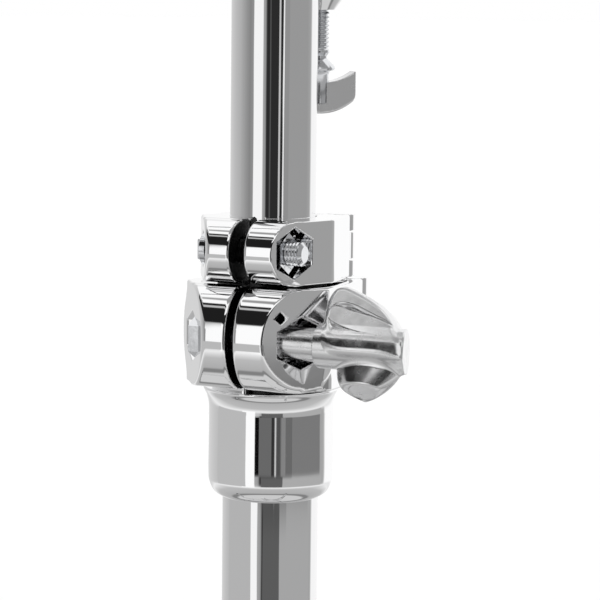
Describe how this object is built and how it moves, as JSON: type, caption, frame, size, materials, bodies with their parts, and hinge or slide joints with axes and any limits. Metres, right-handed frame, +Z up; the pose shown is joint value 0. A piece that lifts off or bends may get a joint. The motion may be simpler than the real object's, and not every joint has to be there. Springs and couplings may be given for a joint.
{
  "type": "snare drum stand",
  "caption": "Chromed snare drum stand with a folding tripod, telescoping column, hinged height clamp with memory lock and wing nut, tilter and adjustable rubber-tipped basket.",
  "frame": {"origin": "on the floor, under the column's axis", "axes": "+Z up along the column, +Y away from the viewer of the picture, +X to the viewer's right"},
  "size_m": [0.4345, 0.4662, 0.5478],
  "materials": {
    "chrome_plate": "bright chrome plate",
    "plated_steel": "nickel-plated steel fasteners",
    "black_rubber": "matte moulded rubber",
    "black_nylon": "satin nylon"
  },
  "bodies": {
    "column": {"lower_tube": "chrome_plate", "lower_tube_cap": "black_rubber", "brace_hub": "chrome_plate", "brace_hub_screw": "plated_steel", "brace_hub_pins": "plated_steel", "clamp_body": "chrome_plate", "clamp_hinge_pin": "chrome_plate", "clamp_bush": "black_nylon", "height_bolt": "plated_steel"},
    "leg_hub_slider": {"leg_hub": "chrome_plate", "leg_hub_pins": "plated_steel"},
    "leg_hub_wing": {"leg_hub_wing_bolt": "chrome_plate"},
    "leg_1": {"leg_1_left": "chrome_plate", "leg_1_right": "chrome_plate", "leg_rivets_1": "plated_steel", "foot_1": "black_rubber"},
    "brace_link_1": {"brace_1": "chrome_plate"},
    "leg_2": {"leg_2_left": "chrome_plate", "leg_2_right": "chrome_plate", "leg_rivets_2": "plated_steel", "foot_2": "black_rubber"},
    "brace_link_2": {"brace_2": "chrome_plate"},
    "leg_3": {"leg_3_left": "chrome_plate", "leg_3_right": "chrome_plate", "leg_rivets_3": "plated_steel", "foot_3": "black_rubber"},
    "brace_link_3": {"brace_3": "chrome_plate"},
    "clamp_gate": {"clamp_door": "chrome_plate"},
    "height_wing": {"height_wing_nut": "chrome_plate"},
    "mast": {"memory_lock_body": "chrome_plate", "memory_lock_hinge_pin": "chrome_plate", "upper_tube": "chrome_plate", "upper_tube_glide": "black_nylon", "tilter_body": "chrome_plate", "tilter_washer": "black_nylon"},
    "memory_lock_gate": {"memory_lock_door": "chrome_plate"},
    "memory_lock_key_bolt": {"memory_lock_bolt": "plated_steel", "memory_lock_nut": "plated_steel"},
    "basket_head": {"basket_hub": "chrome_plate", "tilter_bolt": "plated_steel", "arm_pivot_pins": "plated_steel"},
    "tilter_wing": {"tilter_wing_nut": "chrome_plate"},
    "spreader_slider": {"spreader": "chrome_plate"},
    "spindle": {"basket_spindle": "plated_steel", "basket_handle": "chrome_plate", "spreader_screw": "plated_steel"},
    "arm_link_1": {"arm_1": "chrome_plate", "arm_grip_1": "black_rubber"},
    "arm_link_2": {"arm_2": "chrome_plate", "arm_grip_2": "black_rubber"},
    "arm_link_3": {"arm_3": "chrome_plate", "arm_grip_3": "black_rubber"}
  },
  "joints": [
    {"name": "leg_hub_slide", "type": "slide", "parent": "column", "child": "leg_hub_slider", "axis": [0, 0, 1], "range_m": [0, 0.07612]},
    {"name": "leg_hub_wing_turn", "type": "hinge", "parent": "leg_hub_slider", "child": "leg_hub_wing", "pos_m": [-0.01172, -0.02762, 0.19693], "axis": [-0.3907, -0.9205, 0], "continuous": true},
    {"name": "leg_1_fold", "type": "hinge", "parent": "leg_hub_slider", "child": "leg_1", "pos_m": [0.01016, 0.02393, 0.18993], "axis": [-0.9205, 0.3907, 0], "range_deg": [0, 40]},
    {"name": "brace_1_fold", "type": "hinge", "parent": "column", "child": "brace_link_1", "pos_m": [0.01016, 0.02393, 0.06064], "axis": [0.9205, -0.3907, 0], "range_deg": [0, 40]},
    {"name": "leg_2_fold", "type": "hinge", "parent": "leg_hub_slider", "child": "leg_2", "pos_m": [-0.02581, -0.00317, 0.18993], "axis": [0.1219, -0.9925, 0], "range_deg": [0, 40]},
    {"name": "brace_2_fold", "type": "hinge", "parent": "column", "child": "brace_link_2", "pos_m": [-0.02581, -0.00317, 0.06064], "axis": [-0.1219, 0.9925, 0], "range_deg": [0, 40]},
    {"name": "leg_3_fold", "type": "hinge", "parent": "leg_hub_slider", "child": "leg_3", "pos_m": [0.01565, -0.02076, 0.18993], "axis": [0.7986, 0.6018, 0], "range_deg": [0, 40]},
    {"name": "brace_3_fold", "type": "hinge", "parent": "column", "child": "brace_link_3", "pos_m": [0.01565, -0.02076, 0.06064], "axis": [-0.7986, -0.6018, 0], "range_deg": [0, 40]},
    {"name": "height_slide", "type": "slide", "parent": "column", "child": "mast", "axis": [0, 0, 1], "range_m": [0, 0.15]},
    {"name": "clamp_door_hinge", "type": "hinge", "parent": "column", "child": "clamp_gate", "pos_m": [0.0242, 0.009, 0.33575], "axis": [0, 0, 1], "range_deg": [0, 1.5]},
    {"name": "height_wing_nut_turn", "type": "hinge", "parent": "column", "child": "height_wing", "pos_m": [0.02517, -0.03508, 0.33565], "axis": [0.8988, -0.4384, 0], "continuous": true},
    {"name": "memory_lock_door_hinge", "type": "hinge", "parent": "mast", "child": "memory_lock_gate", "pos_m": [0.02049, 0.00803, 0.3611], "axis": [0, 0, 1], "range_deg": [0, 1.5]},
    {"name": "memory_lock_bolt_turn", "type": "hinge", "parent": "mast", "child": "memory_lock_key_bolt", "pos_m": [-0.00767, -0.01573, 0.3611], "axis": [0.8988, -0.4384, 0], "continuous": true},
    {"name": "basket_tilt", "type": "hinge", "parent": "mast", "child": "basket_head", "pos_m": [0.00485, 0.01141, 0.466], "axis": [0.3907, 0.9205, 0], "range_deg": [-45, 45]},
    {"name": "tilter_wing_nut_turn", "type": "hinge", "parent": "mast", "child": "tilter_wing", "pos_m": [-0.00938, -0.02209, 0.466], "axis": [-0.3907, -0.9205, 0], "continuous": true},
    {"name": "basket_spread", "type": "slide", "parent": "basket_head", "child": "spreader_slider", "axis": [0, 0, 1], "range_m": [-0.0025, 0.0025]},
    {"name": "spindle_turn", "type": "hinge", "parent": "spreader_slider", "child": "spindle", "pos_m": [0.01317, 0.03102, 0.44], "axis": [0, 0, 1], "range_deg": [-720, 720]},
    {"name": "arm_1_swing", "type": "hinge", "parent": "basket_head", "child": "arm_link_1", "pos_m": [0.02098, 0.04943, 0.488], "axis": [-0.9205, 0.3907, 0], "range_deg": [-11.54, 11.54]},
    {"name": "arm_2_swing", "type": "hinge", "parent": "basket_head", "child": "arm_link_2", "pos_m": [-0.00668, 0.02858, 0.488], "axis": [0.1219, -0.9925, 0], "range_deg": [-11.54, 11.54]},
    {"name": "arm_3_swing", "type": "hinge", "parent": "basket_head", "child": "arm_link_3", "pos_m": [0.0252, 0.01505, 0.488], "axis": [0.7986, 0.6018, 0], "range_deg": [-11.54, 11.54]}
  ],
  "couplings": [
    {"joint": "leg_1_fold", "follows": "leg_hub_slide", "rad_per_m": 9.171},
    {"joint": "brace_1_fold", "follows": "leg_hub_slide", "rad_per_m": 9.171},
    {"joint": "leg_2_fold", "follows": "leg_hub_slide", "rad_per_m": 9.171},
    {"joint": "brace_2_fold", "follows": "leg_hub_slide", "rad_per_m": 9.171},
    {"joint": "leg_3_fold", "follows": "leg_hub_slide", "rad_per_m": 9.171},
    {"joint": "brace_3_fold", "follows": "leg_hub_slide", "rad_per_m": 9.171},
    {"joint": "spindle_turn", "follows": "basket_spread", "rad_per_m": 5026.4},
    {"joint": "arm_1_swing", "follows": "basket_spread", "rad_per_m": 80.538},
    {"joint": "arm_2_swing", "follows": "basket_spread", "rad_per_m": 80.538},
    {"joint": "arm_3_swing", "follows": "basket_spread", "rad_per_m": 80.538}
  ]
}
